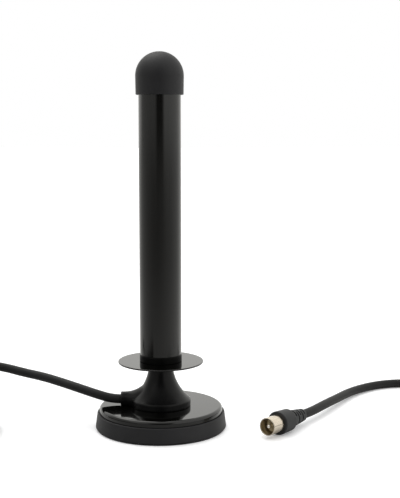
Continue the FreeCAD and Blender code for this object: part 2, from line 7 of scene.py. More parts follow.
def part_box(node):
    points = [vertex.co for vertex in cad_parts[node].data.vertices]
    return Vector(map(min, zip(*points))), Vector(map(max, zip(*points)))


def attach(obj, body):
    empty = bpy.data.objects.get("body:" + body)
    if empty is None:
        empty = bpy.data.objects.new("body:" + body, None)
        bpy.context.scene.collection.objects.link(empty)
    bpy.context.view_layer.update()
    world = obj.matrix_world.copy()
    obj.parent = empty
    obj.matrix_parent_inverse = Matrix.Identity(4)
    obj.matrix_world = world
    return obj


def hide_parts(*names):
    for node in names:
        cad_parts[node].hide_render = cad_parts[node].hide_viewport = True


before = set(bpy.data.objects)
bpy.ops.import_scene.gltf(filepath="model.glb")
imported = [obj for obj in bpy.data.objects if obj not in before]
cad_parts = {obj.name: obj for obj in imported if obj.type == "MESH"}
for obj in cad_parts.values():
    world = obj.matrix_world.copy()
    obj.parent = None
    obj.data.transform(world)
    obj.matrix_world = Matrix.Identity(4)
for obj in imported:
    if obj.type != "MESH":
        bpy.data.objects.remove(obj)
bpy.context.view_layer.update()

# Ring magnet: sintered ferrite, pressed as one dark grey ring with a grainy, chalky skin. It is
# glued under the steel cover and gives the base its weight and its grip on metal shelves.
MM = 0.001
GRAIN_LOW = 0.3
GRAIN_HIGH = 0.7


def new_finish(name):
    """Empty finish with its node tree and its shader."""
    finish = bpy.data.materials.new(name)
    finish.use_nodes = True
    return finish, finish.node_tree, finish.node_tree.nodes["Principled BSDF"]


def grain(tree, size, detail=3.0, stretch=(1.0, 1.0, 1.0)):
    """Noise with features of about that size, in the piece's own coordinates."""
    place = tree.nodes.new("ShaderNodeTexCoord")
    scaled = tree.nodes.new("ShaderNodeMapping")
    scaled.inputs["Scale"].default_value = stretch
    noise = tree.nodes.new("ShaderNodeTexNoise")
    noise.inputs["Scale"].default_value = 1.0 / size
    noise.inputs["Detail"].default_value = detail
    tree.links.new(place.outputs["Object"], scaled.inputs["Vector"])
    tree.links.new(scaled.outputs["Vector"], noise.inputs["Vector"])
    return noise.outputs["Fac"]


def spread(tree, value, start, full, low, high):
    """Node that goes from low to high while a value goes from start to full."""
    node = tree.nodes.new("ShaderNodeMapRange")
    node.inputs["From Min"].default_value = start
    node.inputs["From Max"].default_value = full
    node.inputs["To Min"].default_value = low
    node.inputs["To Max"].default_value = high
    tree.links.new(value, node.inputs["Value"])
    return node


def vary(tree, pattern, low, high, socket):
    """Let a pattern move a number of the shader between two values."""
    moved = spread(tree, pattern, GRAIN_LOW, GRAIN_HIGH, low, high)
    tree.links.new(moved.outputs["Result"], socket)


def tint(tree, pattern, dark, light, shader):
    """Let a pattern move the shader's colour between two tones."""
    ramp = tree.nodes.new("ShaderNodeValToRGB")
    ramp.color_ramp.elements[0].position = GRAIN_LOW
    ramp.color_ramp.elements[0].color = (*dark, 1.0)
    ramp.color_ramp.elements[1].position = GRAIN_HIGH
    ramp.color_ramp.elements[1].color = (*light, 1.0)
    tree.links.new(pattern, ramp.inputs["Fac"])
    tree.links.new(ramp.outputs["Color"], shader.inputs["Base Color"])


def emboss(tree, pattern, depth, shader):
    """Let a pattern raise the surface by that depth."""
    bump = tree.nodes.new("ShaderNodeBump")
    bump.inputs["Strength"].default_value = 1.0
    bump.inputs["Distance"].default_value = depth
    tree.links.new(pattern, bump.inputs["Height"])
    tree.links.new(bump.outputs["Normal"], shader.inputs["Normal"])


def sintered_ferrite():
    finish, tree, shader = new_finish("sintered_ferrite")
    pores = grain(tree, 0.6 * MM, detail=5.0)
    tint(tree, pores, (0.035, 0.035, 0.04), (0.075, 0.075, 0.08), shader)
    vary(tree, pores, 0.7, 0.85, shader.inputs["Roughness"])
    emboss(tree, pores, 0.05 * MM, shader)
    return finish


def dress(node, finish):
    """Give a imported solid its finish."""
    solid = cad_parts[node]
    solid.data.materials.clear()
    solid.data.materials.append(finish)


dress("ring_magnet", sintered_ferrite())

# Base screws: zinc-plated steel, cold-headed, driven up through the cover into the pedestal. Their
# heads lie in the magnet's bore, out of sight.


def zinc_plate():
    finish, tree, shader = new_finish("zinc_plate")
    frost = grain(tree, 0.4 * MM)
    tint(tree, frost, (0.45, 0.46, 0.47), (0.62, 0.63, 0.64), shader)
    shader.inputs["Metallic"].default_value = 1.0
    vary(tree, frost, 0.28, 0.42, shader.inputs["Roughness"])
    return finish


dress("base_screws", zinc_plate())

# Rubber boot: one soft moulded cup, dull grey-black, stretched over the steel cover. Its lip hugs the
# cover below the shoulder, and it is widest just above the table.
TURN_STEPS = 192
ARC_STEPS = 8
ON_AXIS = 1e-6
FIT = 0.05 * MM


def rounded(corners):
    """Outline of (radius, height) points from rows of radius, height and rounding."""
    outline = []
    for i, (radius, height, rounding) in enumerate(corners):
        corner = Vector((radius, height))
        if rounding == 0:
            outline.append(corner)
            continue
        back = (Vector(corners[i - 1][:2]) - corner).normalized()
        ahead = (Vector(corners[(i + 1) % len(corners)][:2]) - corner).normalized()
        half = back.angle(ahead) / 2
        setback = rounding / math.tan(half)
        middle = corner + (back + ahead).normalized() * (rounding / math.sin(half))
        first = corner + back * setback - middle
        last = corner + ahead * setback - middle
        sweep = first.angle_signed(last)
        for step in range(ARC_STEPS + 1):
            turn = Matrix.Rotation(-sweep * step / ARC_STEPS, 2)
            outline.append(middle + turn @ first)
    return outline


def turned_mesh(name, outline, fill=None):
    """Closed outline turned about +Z, filled out by a rule where one is given; poles on the axis."""
    points = []
    rings = []
    for radius, height in outline:
        count = 1 if radius < ON_AXIS else TURN_STEPS
        rings.append([len(points) + k for k in range(count)])
        for k in range(count):
            angle = 2 * math.pi * k / TURN_STEPS
            reach = fill(radius, height, angle) if fill else radius
            points.append((reach * math.cos(angle), reach * math.sin(angle), height))
    faces = []
    for lower, upper in zip(rings, rings[1:] + rings[:1]):
        if len(lower) == 1 and len(upper) == 1:
            continue
        for k in range(TURN_STEPS):
            after = (k + 1) % TURN_STEPS
            corners = [lower[k % len(lower)], lower[after % len(lower)]]
            corners += [upper[after % len(upper)], upper[k % len(upper)]]
            faces.append(list(dict.fromkeys(corners)))
    mesh = bpy.data.meshes.new(name)
    mesh.from_pydata(points, [], faces)
    mesh.shade_smooth()
    return mesh


def add_piece(name, mesh, finish, node):
    """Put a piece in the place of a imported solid."""
    piece = bpy.data.objects.new(name, mesh)
    bpy.context.scene.collection.objects.link(piece)
    mesh.materials.append(finish)
    flats = piece.modifiers.new("even_flats", "WEIGHTED_NORMAL")
    flats.keep_sharp = True
    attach(piece, "root")
    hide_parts(node)
    return piece


def moulded_rubber(name, dark, light):
    finish, tree, shader = new_finish(name)
    pores = grain(tree, 0.25 * MM, detail=4.0)
    clouds = grain(tree, 9 * MM, detail=2.0)
    tint(tree, clouds, dark, light, shader)
    shader.inputs["Specular IOR Level"].default_value = 0.4
    vary(tree, pores, 0.5, 0.62, shader.inputs["Roughness"])
    emboss(tree, pores, 0.012 * MM, shader)
    return finish


boot_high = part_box("rubber_boot")[1]
cover_low, cover_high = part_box("base_cover")
boot_radius = boot_high.x
boot_foot_radius = boot_radius - 0.9 * MM
boot_lip_radius = boot_radius - 1.0 * MM
boot_inside = cover_high.x + FIT
boot_floor = cover_low.z
boot_widest = 1.1 * MM
boot_bulge = 0.6 * MM
boot_edge = 0.3 * MM
boot_inner_edge = 0.15 * MM
boot_outline = rounded([
    (0.0, 0.0, 0.0),
    (boot_foot_radius, 0.0, boot_edge),
    (boot_radius, boot_widest, boot_bulge),
    (boot_lip_radius, boot_high.z, boot_edge),
    (boot_inside, boot_high.z, boot_inner_edge),
    (boot_inside, boot_floor, 0.0),
    (0.0, boot_floor, 0.0),
])
boot_rubber = moulded_rubber("boot_rubber", (0.0108, 0.0108, 0.0127), (0.0138, 0.0138, 0.0162))
add_piece(
    "boot_cup", turned_mesh("boot_cup", boot_outline), boot_rubber, "rubber_boot"
)

# Base cover: sheet steel pressed to a shallow cup with a rounded shoulder and enamelled gloss black,
# smooth enough to mirror the pedestal. It stands in the boot over the magnet.


def gloss_enamel(name):
    finish, tree, shader = new_finish(name)
    flow = grain(tree, 14 * MM, detail=2.0)
    dust = grain(tree, 0.8 * MM, detail=5.0)
    tint(tree, flow, (0.0012, 0.0012, 0.001), (0.0018, 0.0018, 0.0015), shader)
    vary(tree, dust, 0.03, 0.07, shader.inputs["Roughness"])
    emboss(tree, flow, 0.004 * MM, shader)
    return finish


cover_radius = cover_high.x
cover_sheet = 1.0 * MM
cover_inside = cover_radius - cover_sheet
cover_under = cover_high.z - cover_sheet
shoulder = 1.7 * MM
trimmed_edge = 0.2 * MM
cover_outline = rounded([
    (cover_inside, cover_low.z, 0.0),
    (cover_radius, cover_low.z, trimmed_edge),
    (cover_radius, cover_high.z, shoulder),
    (0.0, cover_high.z, 0.0),
    (0.0, cover_under, 0.0),
    (cover_inside, cover_under, shoulder - cover_sheet),
])
add_piece(
    "cover_pressing", turned_mesh("cover_pressing", cover_outline), gloss_enamel("cover_enamel"),
    "base_cover",
)

# Pedestal: one satin black moulding, a bell that sweeps up from a low foot to a narrow neck, with a
# boss at its side where the lead enters. The boss swells into the bell in one soft blend.


def satin_moulding(name, dark, light, sheen):
    finish, tree, shader = new_finish(name)
    spark = grain(tree, 0.18 * MM, detail=3.0)
    clouds = grain(tree, 7 * MM, detail=2.0)
    tint(tree, clouds, dark, light, shader)
    shader.inputs["Specular IOR Level"].default_value = sheen
    vary(tree, spark, 0.27, 0.36, shader.inputs["Roughness"])
    emboss(tree, spark, 0.008 * MM, shader)
    return finish


pedestal_low, pedestal_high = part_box("pedestal")
foot_radius = pedestal_high.x
neck_radius = 6.4 * MM
waist_curve = 26.0 * MM
foot_wall_top = pedestal_high.z - math.sqrt(
    waist_curve**2 - (waist_curve + neck_radius - foot_radius) ** 2
)
bell_outline = [(0.0, pedestal_low.z), (foot_radius, pedestal_low.z)]
bell_start = math.asin((pedestal_high.z - foot_wall_top) / waist_curve)
BELL_STEPS = 40
for step in range(BELL_STEPS + 1):
    angle = bell_start * (1 - step / BELL_STEPS)
    bell_outline.append((
        waist_curve + neck_radius - waist_curve * math.cos(angle),
        pedestal_high.z - waist_curve * math.sin(angle),
    ))
bell_outline.append((0.0, pedestal_high.z))
boss_axis_height = pedestal_low.z + 3.15 * MM
boss_reach = -pedestal_low.x
boss_radius = 4.05 * MM
boss_straight = 2.2 * MM
boss_edge = 0.4 * MM
lead_hole_radius = 2.62 * MM
lead_hole_depth = 1.1 * MM
lead_hole_edge = 0.2 * MM
flare_start = boss_reach - boss_straight
flare_end = neck_radius + 2.7 * MM
flare_length = flare_start - flare_end
flare_rise = 4.3 * MM
flare_curve = (flare_length**2 + flare_rise**2) / (2 * flare_rise)
boss_outline = rounded([
    (0.0, -boss_reach + lead_hole_depth, 0.0),
    (lead_hole_radius, -boss_reach + lead_hole_depth, 0.0),
    (lead_hole_radius, -boss_reach, lead_hole_edge),
    (boss_radius, -boss_reach, boss_edge),
    (boss_radius, -flare_start, 0.0),
])
FLARE_STEPS = 16
for step in range(1, FLARE_STEPS + 1):
    along = flare_length * step / FLARE_STEPS
    rise = flare_curve - math.sqrt(flare_curve**2 - along**2)
    boss_outline.append((boss_radius + rise, along - flare_start))
boss_outline.append((0.0, boss_outline[-1][1]))
boss_mesh = turned_mesh("boss_turning", boss_outline)
boss_mesh.transform(
    Matrix.Translation((0, 0, boss_axis_height)) @ Matrix.Rotation(math.pi / 2, 4, "Y")
)


def soft_union(name, solids, floor, voxel, passes):
    """One skin round several solids, cut level at a floor, with its inner corners blended."""
    holders = []
    for mesh in solids:
        holder = bpy.data.objects.new(mesh.name, mesh)
        bpy.context.scene.collection.objects.link(holder)
        holders.append(holder)
    body = holders[0]
    for other in holders[1:]:
        join = body.modifiers.new("join", "BOOLEAN")
        join.operation = "UNION"
        join.object = other
    skin = body.modifiers.new("skin", "REMESH")
    skin.mode = "VOXEL"
    skin.voxel_size = voxel
    blend = body.modifiers.new("blend", "SMOOTH")
    blend.factor = 0.5
    blend.iterations = passes
    depsgraph = bpy.context.evaluated_depsgraph_get()
    mesh = bpy.data.meshes.new_from_object(body.evaluated_get(depsgraph))
    mesh.name = name
    for holder in holders:
        bpy.data.objects.remove(holder)
    for point in mesh.vertices:
        point.co.z = max(point.co.z, floor)
    mesh.shade_smooth()
    return mesh


pedestal_mesh = soft_union(
    "pedestal_moulding", [turned_mesh("bell_turning", bell_outline), boss_mesh],
    floor=pedestal_low.z, voxel=0.3 * MM, passes=6,
)
pedestal_satin = satin_moulding(
    "pedestal_satin", (0.0032, 0.0032, 0.0035), (0.0045, 0.0045, 0.0049), sheen=0.19
)
add_piece("pedestal_moulding", pedestal_mesh, pedestal_satin, "pedestal")

# Mast nipple, lock nuts and ferrule: turned brass. The hollow nipple passes through pedestal, disc and
# collar, and a nut at each end clamps the stack. The ferrule is crimped on the lead, inside the boss.


def turned_brass():
    finish, tree, shader = new_finish("turned_brass")
    lines = grain(tree, 0.3 * MM, stretch=(0.05, 0.05, 1.0))
    tint(tree, lines, (0.52, 0.37, 0.14), (0.66, 0.5, 0.22), shader)
    shader.inputs["Metallic"].default_value = 1.0
    vary(tree, lines, 0.22, 0.34, shader.inputs["Roughness"])
    return finish


brass = turned_brass()
for node in ("mast_nipple", "lock_nuts", "cable_ferrule"):
    dress(node, brass)

# Feed lead and antenna board: the bared core of the lead, natural white insulation, climbs to a strip
# of green laminate that stands in the collar's slot, inside the tube.


def white_insulation():
    finish, tree, shader = new_finish("white_insulation")
    clouds = grain(tree, 2 * MM)
    tint(tree, clouds, (0.7, 0.7, 0.66), (0.8, 0.8, 0.77), shader)
    shader.inputs["Roughness"].default_value = 0.45
    return finish


def lacquered_laminate():
    finish, tree, shader = new_finish("lacquered_laminate")
    weave = grain(tree, 0.5 * MM, stretch=(1.0, 1.0, 0.2))
    tint(tree, weave, (0.02, 0.09, 0.045), (0.035, 0.14, 0.07), shader)
    vary(tree, weave, 0.25, 0.4, shader.inputs["Roughness"])
    return finish


dress("feed_lead", white_insulation())
dress("antenna_board", lacquered_laminate())

# Ground disc: a thin round steel plate, blanked, its edge just broken, enamelled gloss black. It is
# clamped between the pedestal's neck and the collar and mirrors the foot of the tube.
disc_low, disc_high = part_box("ground_disc")
disc_bore = 4.05 * MM
disc_edge = 0.25 * MM
disc_outline = rounded([
    (disc_bore, disc_low.z, 0.0),
    (disc_high.x, disc_low.z, disc_edge),
    (disc_high.x, disc_high.z, disc_edge),
    (disc_bore, disc_high.z, 0.0),
])
add_piece(
    "disc_plate", turned_mesh("disc_plate", disc_outline), gloss_enamel("disc_enamel"),
    "ground_disc",
)

# Tube collar: a satin black moulding under the tube, a low flange with a spigot that fills the tube's
# foot. Its edge stands a hair proud of the tube.
collar_low, collar_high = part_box("tube_collar")
tube_low, tube_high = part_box("antenna_tube")
collar_radius = collar_high.x
tube_wall = 1.0 * MM
spigot_wall = 1.7 * MM
spigot_radius = tube_high.x - tube_wall - FIT
spigot_inside = spigot_radius - spigot_wall
flange_foot_edge = 0.3 * MM
flange_edge = 0.35 * MM
spigot_edge = 0.4 * MM
spigot_inner_edge = 0.3 * MM
collar_outline = rounded([
    (disc_bore, collar_low.z, 0.0),
    (collar_radius, collar_low.z, flange_foot_edge),
    (collar_radius, tube_low.z, flange_edge),
    (spigot_radius, tube_low.z, 0.0),
    (spigot_radius, collar_high.z, spigot_edge),
    (spigot_inside, collar_high.z, spigot_inner_edge),
    (spigot_inside, tube_low.z, 0.0),
    (disc_bore, tube_low.z, 0.0),
])
collar_satin = satin_moulding(
    "collar_satin", (0.0027, 0.0027, 0.0026), (0.0036, 0.0036, 0.0034), sheen=0.06
)
add_piece(
    "collar_moulding", turned_mesh("collar_moulding", collar_outline), collar_satin,
    "tube_collar",
)

# Antenna tube: a length of extruded tube, gloss black, with faint lines drawn along it by the die. It
# is pushed over the collar's spigot and closed above by the cap.


def drawn_gloss():
    finish, tree, shader = new_finish("drawn_gloss")
    lines = grain(tree, 0.5 * MM, detail=4.0, stretch=(1.0, 1.0, 0.004))
    flow = grain(tree, 4 * MM, detail=2.0, stretch=(1.0, 1.0, 0.05))
    tint(tree, flow, (0.0026, 0.0025, 0.0021), (0.0042, 0.004, 0.0034), shader)
    vary(tree, lines, 0.12, 0.2, shader.inputs["Roughness"])
    emboss(tree, lines, 0.003 * MM, shader)
    return finish


tube_radius = tube_high.x
tube_inside = tube_radius - tube_wall
tube_edge = 0.25 * MM
tube_outline = rounded([
    (tube_inside, tube_low.z, 0.0),
    (tube_radius, tube_low.z, tube_edge),
    (tube_radius, tube_high.z, tube_edge),
    (tube_inside, tube_high.z, 0.0),
])
add_piece(
    "tube_length", turned_mesh("tube_length", tube_outline), drawn_gloss(),
    "antenna_tube",
)

# End cap: soft black rubber, moulded thick, a short skirt that grips the tube below a half-round dome.
# The skirt draws in a little towards its edge, and the gate's mark is sunk in the crown.
cap_low, cap_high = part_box("end_cap")
cap_radius = cap_high.x
cap_wall = 2.9 * MM
cap_socket = tube_radius + FIT
skirt_radius = cap_radius - 0.15 * MM
skirt_edge = 0.5 * MM
skirt_inner_edge = 0.2 * MM
dome_centre = cap_high.z - cap_radius
dome_inside = cap_radius - cap_wall
gate_radius = 1.7 * MM
gate_floor_radius = gate_radius * 0.9
gate_depth = 0.12 * MM
cap_outline = rounded([
    (cap_socket, cap_low.z, skirt_inner_edge),
    (skirt_radius, cap_low.z, skirt_edge),
    (cap_radius, dome_centre, 0.0),
])
DOME_STEPS = 40
gate_angle = math.acos(gate_radius / cap_radius)
for step in range(1, DOME_STEPS + 1):
    angle = gate_angle * step / DOME_STEPS
    cap_outline.append((cap_radius * math.cos(angle), dome_centre + cap_radius * math.sin(angle)))
gate_floor = cap_outline[-1][1] - gate_depth
cap_outline += [(gate_floor_radius, gate_floor), (0.0, gate_floor)]
for step in range(DOME_STEPS + 1):
    angle = math.pi / 2 * (1 - step / DOME_STEPS)
    cap_outline.append((dome_inside * math.cos(angle), dome_centre + dome_inside * math.sin(angle)))
cap_outline.append((cap_socket, dome_centre))
cap_rubber = moulded_rubber("cap_rubber", (0.0082, 0.0082, 0.01), (0.0105, 0.0105, 0.0128))
add_piece("cap_dome", turned_mesh("cap_dome", cap_outline), cap_rubber, "end_cap")

# Plug: moulded on the end of the lead and lying on the taper of its grip. Every piece of it is turned
# about the plug's own axis, from the cable end, and then laid down in its place.
plug_heading = math.radians(-127.5)
grip_rear_radius = 5.95 * MM
grip_front_radius = 6.35 * MM
relief_length = 14.0 * MM
grip_length = 10.6 * MM
plug_tilt = math.atan2(grip_front_radius - grip_rear_radius, grip_length)
plug_rear = Vector((
    77.02 * MM, 3.55 * MM,
    grip_rear_radius * math.cos(plug_tilt) - relief_length * math.sin(plug_tilt),
))
plug_place = (
    Matrix.Translation(plug_rear)
    @ Matrix.Rotation(plug_heading, 4, "Z")
    @ Matrix.Rotation(math.pi / 2 - plug_tilt, 4, "Y")
)


def add_plug_piece(name, outline, finish, node, fill=None):
    """Turn a piece of the plug and lay it down."""
    mesh = turned_mesh(name, outline, fill)
    mesh.transform(plug_place)
    return add_piece(name, mesh, finish, node)


# Plug body: grip and strain relief in one black overmoulding, dull from the mould. The relief is ringed
# with grooves so that it bends, each broken by two webs that are turned a quarter from the last.
relief_rear_radius = 3.4 * MM
relief_front_radius = 5.0 * MM
seat_radius = 4.55 * MM
grip_front = relief_length + grip_length
shell_foot = grip_front - 6.0 * MM
GROOVES = 5
groove_width = 1.1 * MM
groove_depth = 0.7 * MM
groove_edge = 0.15 * MM
relief_rear_edge = 0.3 * MM
grip_edge = 0.7 * MM
seat_edge = 0.1 * MM
web_half_angle = math.radians(27.5)


def relief_radius(along):
    return relief_rear_radius + (relief_front_radius - relief_rear_radius) * along / relief_length


def webbed(radius, height, angle):
    """Radius of the plug's body, with the webs across the grooves of its relief."""
    groove = round(height / relief_length * (GROOVES + 1))
    if not 1 <= groove <= GROOVES:
        return radius
    from_web = math.cos(angle) if groove % 2 else math.sin(angle)
    if abs(from_web) > math.sin(web_half_angle):
        return radius
    return max(radius, relief_radius(height))


body_corners = [(0.0, 0.0, 0.0), (relief_rear_radius, 0.0, relief_rear_edge)]
for number in range(1, GROOVES + 1):
    middle = relief_length * number / (GROOVES + 1)
    rear = middle - groove_width / 2
    front = middle + groove_width / 2
    body_corners += [
        (relief_radius(rear), rear, groove_edge),
        (relief_radius(rear) - groove_depth, rear, groove_edge),
        (relief_radius(front) - groove_depth, front, groove_edge),
        (relief_radius(front), front, groove_edge),
    ]
body_corners += [
    (relief_front_radius, relief_length, groove_edge),
    (grip_rear_radius, relief_length, grip_edge),
    (grip_front_radius, grip_front, grip_edge),
    (seat_radius, grip_front, seat_edge),
    (seat_radius, shell_foot, 0.0),
    (0.0, shell_foot, 0.0),
]
plug_overmould = moulded_rubber("plug_overmould", (0.0135, 0.0145, 0.016), (0.018, 0.0192, 0.0212))
plug_body = add_plug_piece(
    "plug_overmoulding", rounded(body_corners), plug_overmould, "plug_body",
    fill=webbed,
)

# Plug shell and pin: drawn brass, plated with bright nickel that has a warm cast, with faint lines along
# it. The pin's nickel is set lighter and less warm than the shell's, as a painted highlight for its tip.
# The shell is crimped in the overmoulding, and the pin stands inside it.


def bright_nickel(name, dark, light):
    finish, tree, shader = new_finish(name)
    lines = grain(tree, 0.25 * MM, stretch=(0.03, 0.03, 1.0))
    tint(tree, lines, dark, light, shader)
    shader.inputs["Metallic"].default_value = 1.0
    vary(tree, lines, 0.16, 0.26, shader.inputs["Roughness"])
    return finish


shell_nickel = bright_nickel("shell_nickel", (0.61, 0.54, 0.44), (0.72, 0.64, 0.53))
# Lighter nickel on the pin: a painted highlight for its tip.
pin_nickel_painted_highlight = bright_nickel("pin_nickel_painted_highlight", (0.84, 0.8, 0.72), (0.94, 0.9, 0.82))
shell_radius = 4.75 * MM
shell_inside = 4.2 * MM
shell_length = 9.5 * MM
shell_front = grip_front + shell_length
crimped_radius = shell_radius - 0.25 * MM
crimp_edge = 0.1 * MM
mouth_edge = 0.25 * MM
mouth_inner_edge = 0.2 * MM
plug_shell = add_plug_piece("plug_contact", rounded([
    (shell_inside, shell_foot, 0.0),
    (crimped_radius, shell_foot, 0.0),
    (crimped_radius, grip_front, 0.0),
    (shell_radius, grip_front, crimp_edge),
    (shell_radius, shell_front, mouth_edge),
    (shell_inside, shell_front, mouth_inner_edge),
]), shell_nickel, "plug_shell")
pin_radius = 1.18 * MM
pin_tip = 1.0 * MM
pin_front = shell_front - 0.8 * MM
plug_pin = add_plug_piece("plug_centre_pin", rounded([
    (0.0, shell_foot, 0.0),
    (pin_radius, shell_foot, 0.0),
    (pin_radius, pin_front, pin_tip),
    (0.0, pin_front, 0.0),
]), pin_nickel_painted_highlight, "plug_pin")

# Plug insulator: an olive brown moulding pressed in the shell, which holds the pin in the middle. A step
# runs round it near the wall.


def brown_moulding():
    finish, tree, shader = new_finish("brown_moulding")
    clouds = grain(tree, 1.2 * MM)
    tint(tree, clouds, (0.4, 0.325, 0.188), (0.53, 0.44, 0.265), shader)
    vary(tree, clouds, 0.3, 0.45, shader.inputs["Roughness"])
    return finish


insulator_front = shell_front - 5.0 * MM
insulator_radius = shell_inside - FIT
insulator_bore = pin_radius + FIT
step_radius = insulator_radius - 0.7 * MM
step_foot = insulator_front - 0.6 * MM
step_edge = 0.15 * MM
plug_insulator = add_plug_piece("plug_insulating_disc", rounded([
    (insulator_bore, shell_foot, 0.0),
    (insulator_radius, shell_foot, 0.0),
    (insulator_radius, step_foot, 0.0),
    (step_radius, step_foot, 0.0),
    (step_radius, insulator_front, step_edge),
    (insulator_bore, insulator_front, 0.0),
]), brown_moulding(), "plug_insulator")

# Lead: coaxial cable in a dull black extruded jacket. It leaves the boss in a low arch, is put away in
# a tied hank beside the base, and runs on round the front to its plug.
LEAD_DIAMETER = 5.0 * MM
RUN_OUT = (
    (-20.8, 0.0, 15.45),
    (-26.5, 0.0, 15.45),
    (-35.8, 1.8, 17.8),
    (-44.8, 6.6, 19.5),
    (-54.8, 13.4, 20.9),
    (-66.4, 21.2, 22.3),
    (-79.0, 27.6, 23.3),
    (-89.7, 31.2, 25.2),
    (-100.1, 31.6, 26.8),
    (-109.4, 28.3, 24.6),
    (-116.4, 21.3, 20.5),
    (-120.2, 11.8, 17.0),
    (-120.2, -2.5, 12.5),
    (-120.2, -16.0, 12.5),
)
RUN_IN = (
    (-88.0, -123.4, 2.5),
    (-30.0, -124.0, 2.5),
    (40.0, -123.6, 2.5),
    (88.0, -124.0, 2.5),
    (111.0, -123.9, 2.5),
    (122.8, -117.6, 2.5),
    (130.2, -106.4, 2.5),
    (132.4, -92.0, 2.5),
    (134.0, -70.0, 2.5),
    (136.5, -45.0, 2.5),
    (143.0, -8.0, 2.5),
    (153.8, 22.0, 2.5),
    (166.0, 40.8, 2.5),
    (171.6, 53.5, 2.5),
    (172.0, 64.2, 2.5),
    (167.9, 74.1, 2.5),
    (160.0, 81.4, 2.5),
    (149.8, 84.8, 2.5),
    (139.2, 83.6, 2.5),
    (127.4, 78.0, 2.5),
    (113.2, 64.1, 2.9),
    (100.9, 42.2, 4.0),
    (92.0, 26.1, 5.0),
    (83.14, 11.52, 5.04),
    (77.05, 3.59, 5.42),
)
HANK_CENTRE = (-104.7, -57.9)
HANK_RUN = 100.0
HANK_BEND = 15.5
HANK_POINTS = 112
LAYER = 5.0
TOP_LAYER = 2.5 * LAYER
STEPS_DOWN = 2
STEP_LENGTH = 70.0
TIE_LIFT = 1.3
TIE_REACH = 14.0
hank_turn = 2 * HANK_RUN + 2 * math.pi * HANK_BEND
hank_tip = HANK_RUN + math.pi * HANK_BEND / 2
hank_first = 22.0
hank_last = STEPS_DOWN * hank_turn + hank_tip


def ease(share):
    """Smooth rise from 0 to 1."""
    share = min(max(share, 0.0), 1.0)
    return share * share * (3 - 2 * share)


def hank_point(travel):
    """Point of the hank, that far along its turns, which step down one layer each time round."""
    lap = travel % hank_turn
    half_turn = math.pi * HANK_BEND
    if lap < HANK_RUN:
        across, along = -HANK_BEND, HANK_RUN / 2 - lap
    elif lap < HANK_RUN + half_turn:
        angle = (lap - HANK_RUN) / HANK_BEND
        across = -HANK_BEND * math.cos(angle)
        along = -HANK_RUN / 2 - HANK_BEND * math.sin(angle)
    elif lap < 2 * HANK_RUN + half_turn:
        across, along = HANK_BEND, lap - half_turn - 1.5 * HANK_RUN
    else:
        angle = (lap - 2 * HANK_RUN - half_turn) / HANK_BEND
        across = HANK_BEND * math.cos(angle)
        along = HANK_RUN / 2 + HANK_BEND * math.sin(angle)
    height = TOP_LAYER
    for turn in range(STEPS_DOWN):
        height -= LAYER * ease((travel - hank_tip - turn * hank_turn) / STEP_LENGTH)
    height += TIE_LIFT * math.exp(-((along / TIE_REACH) ** 2))
    return HANK_CENTRE[0] + across, HANK_CENTRE[1] + along, height


route = list(RUN_OUT)
for number in range(HANK_POINTS):
    share = number / (HANK_POINTS - 1)
    route.append(hank_point(hank_first + (hank_last - hank_first) * share))
route += RUN_IN


def extruded_jacket():
    finish, tree, shader = new_finish("extruded_jacket")
    skin = grain(tree, 0.3 * MM, detail=4.0)
    clouds = grain(tree, 5 * MM, detail=2.0)
    tint(tree, clouds, (0.013, 0.0132, 0.0136), (0.0174, 0.0176, 0.0181), shader)
    shader.inputs["Specular IOR Level"].default_value = 0.15
    vary(tree, skin, 0.42, 0.56, shader.inputs["Roughness"])
    emboss(tree, skin, 0.015 * MM, shader)
    return finish


lead_curve = bpy.data.curves.new("coaxial_lead", "CURVE")
lead_curve.dimensions = "3D"
lead_curve.bevel_depth = LEAD_DIAMETER / 2
lead_curve.bevel_resolution = 6
lead_curve.resolution_u = 10
lead_line = lead_curve.splines.new("NURBS")
lead_line.points.add(len(route) - 1)
for point, (x, y, z) in zip(lead_line.points, route):
    point.co = (x * MM, y * MM, z * MM, 1.0)
lead_line.order_u = 3
lead_line.use_endpoint_u = True
lead_line.use_smooth = True
lead_curve.materials.append(extruded_jacket())
lead = bpy.data.objects.new("coaxial_lead", lead_curve)
bpy.context.scene.collection.objects.link(lead)
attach(lead, "root")
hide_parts("cable_run_out", "cable_run_in", "cable_hank")

# Tie: a woven black strap wrapped once round the hank's waist, its end pressed down over its start.
# It keeps the spare length together.


def woven_strap():
    finish, tree, shader = new_finish("woven_strap")
    place = tree.nodes.new("ShaderNodeTexCoord")
    weave = tree.nodes.new("ShaderNodeTexChecker")
    weave.inputs["Scale"].default_value = 1 / (0.45 * MM)
    tree.links.new(place.outputs["Object"], weave.inputs["Vector"])
    fuzz = grain(tree, 0.2 * MM, detail=4.0)
    tint(tree, fuzz, (0.012, 0.012, 0.0135), (0.03, 0.03, 0.033), shader)
    shader.inputs["Roughness"].default_value = 0.85
    shader.inputs["Sheen Weight"].default_value = 0.3
    emboss(tree, weave.outputs["Fac"], 0.06 * MM, shader)
    return finish


tie_low, tie_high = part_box("cable_tie")
strap_sheet = 1.2 * MM
strap_rounding = 3.0 * MM
half_strap = (tie_high.x - tie_low.x) / 2
half_lap = 9.0 * MM
lap_slant = 1.5 * MM
lap_step = 0.1 * MM
tie_height = tie_high.z


def strap_loop(inset, lap):
    """Rounded outline of the strap across the hank, that far in, with its end lapped over the top."""
    top = tie_height - inset
    rounding = strap_rounding - inset
    return rounded([
        (-half_strap + inset, inset, rounding),
        (half_strap - inset, inset, rounding),
        (half_strap - inset, top, rounding),
        (half_lap + lap_slant, top, 0.0),
        (half_lap - lap_slant, top + lap, 0.0),
        (-half_lap, top + lap, 0.0),
        (-half_lap - lap_step, top, 0.0),
        (-half_strap + inset, top, rounding),
    ])


